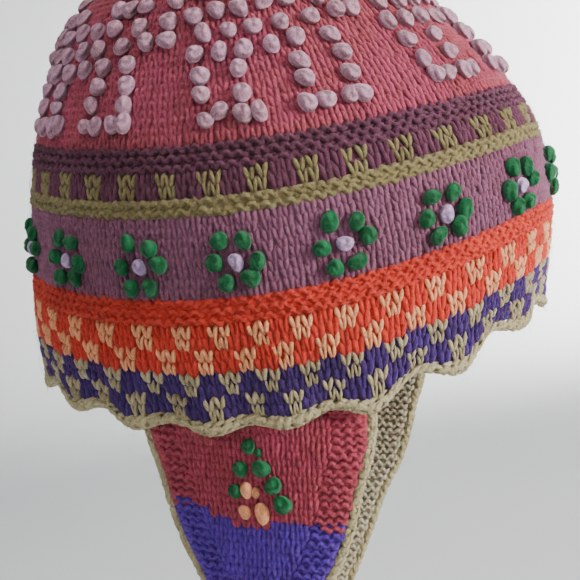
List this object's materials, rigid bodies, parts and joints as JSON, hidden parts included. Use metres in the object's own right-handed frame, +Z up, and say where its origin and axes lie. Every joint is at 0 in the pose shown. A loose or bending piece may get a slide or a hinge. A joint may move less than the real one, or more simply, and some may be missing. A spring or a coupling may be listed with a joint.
{
  "type": "chullo hat",
  "caption": "Knitted hat with ear flaps: a deep domed cap in patterned colour bands with a ruffled crochet rim, and a pointed lined flap hanging over each ear.",
  "frame": {"origin": "inside top of the crown, where the hat sits on the top of the head", "axes": "+Z up; the wearer faces -Y; +X is the wearer's left; the flaps hang towards -Z"},
  "size_m": [0.1678, 0.2092, 0.2887],
  "materials": {
    "yarn_rose": "matt, fuzzy knitted wool",
    "yarn_plum": "matt, fuzzy knitted wool",
    "yarn_olive": "matt, fuzzy knitted wool",
    "yarn_mauve": "matt, fuzzy knitted wool",
    "yarn_orange": "matt, fuzzy knitted wool",
    "yarn_violet": "matt, fuzzy knitted wool",
    "yarn_beige": "matt, fuzzy knitted wool"
  },
  "bodies": {
    "root": {"crown": "yarn_rose", "plum_band": "yarn_plum", "olive_ridge": "yarn_olive", "flower_band": "yarn_mauve", "orange_ridge": "yarn_orange", "orange_check_band": "yarn_orange", "violet_check_band": "yarn_violet", "rim_edging": "yarn_beige", "flap_rose_right": "yarn_rose", "flap_violet_right": "yarn_violet", "flap_lining_right": "yarn_beige", "flap_edging_right": "yarn_beige", "flap_rose_left": "yarn_rose", "flap_violet_left": "yarn_violet", "flap_lining_left": "yarn_beige", "flap_edging_left": "yarn_beige"}
  },
  "joints": []
}
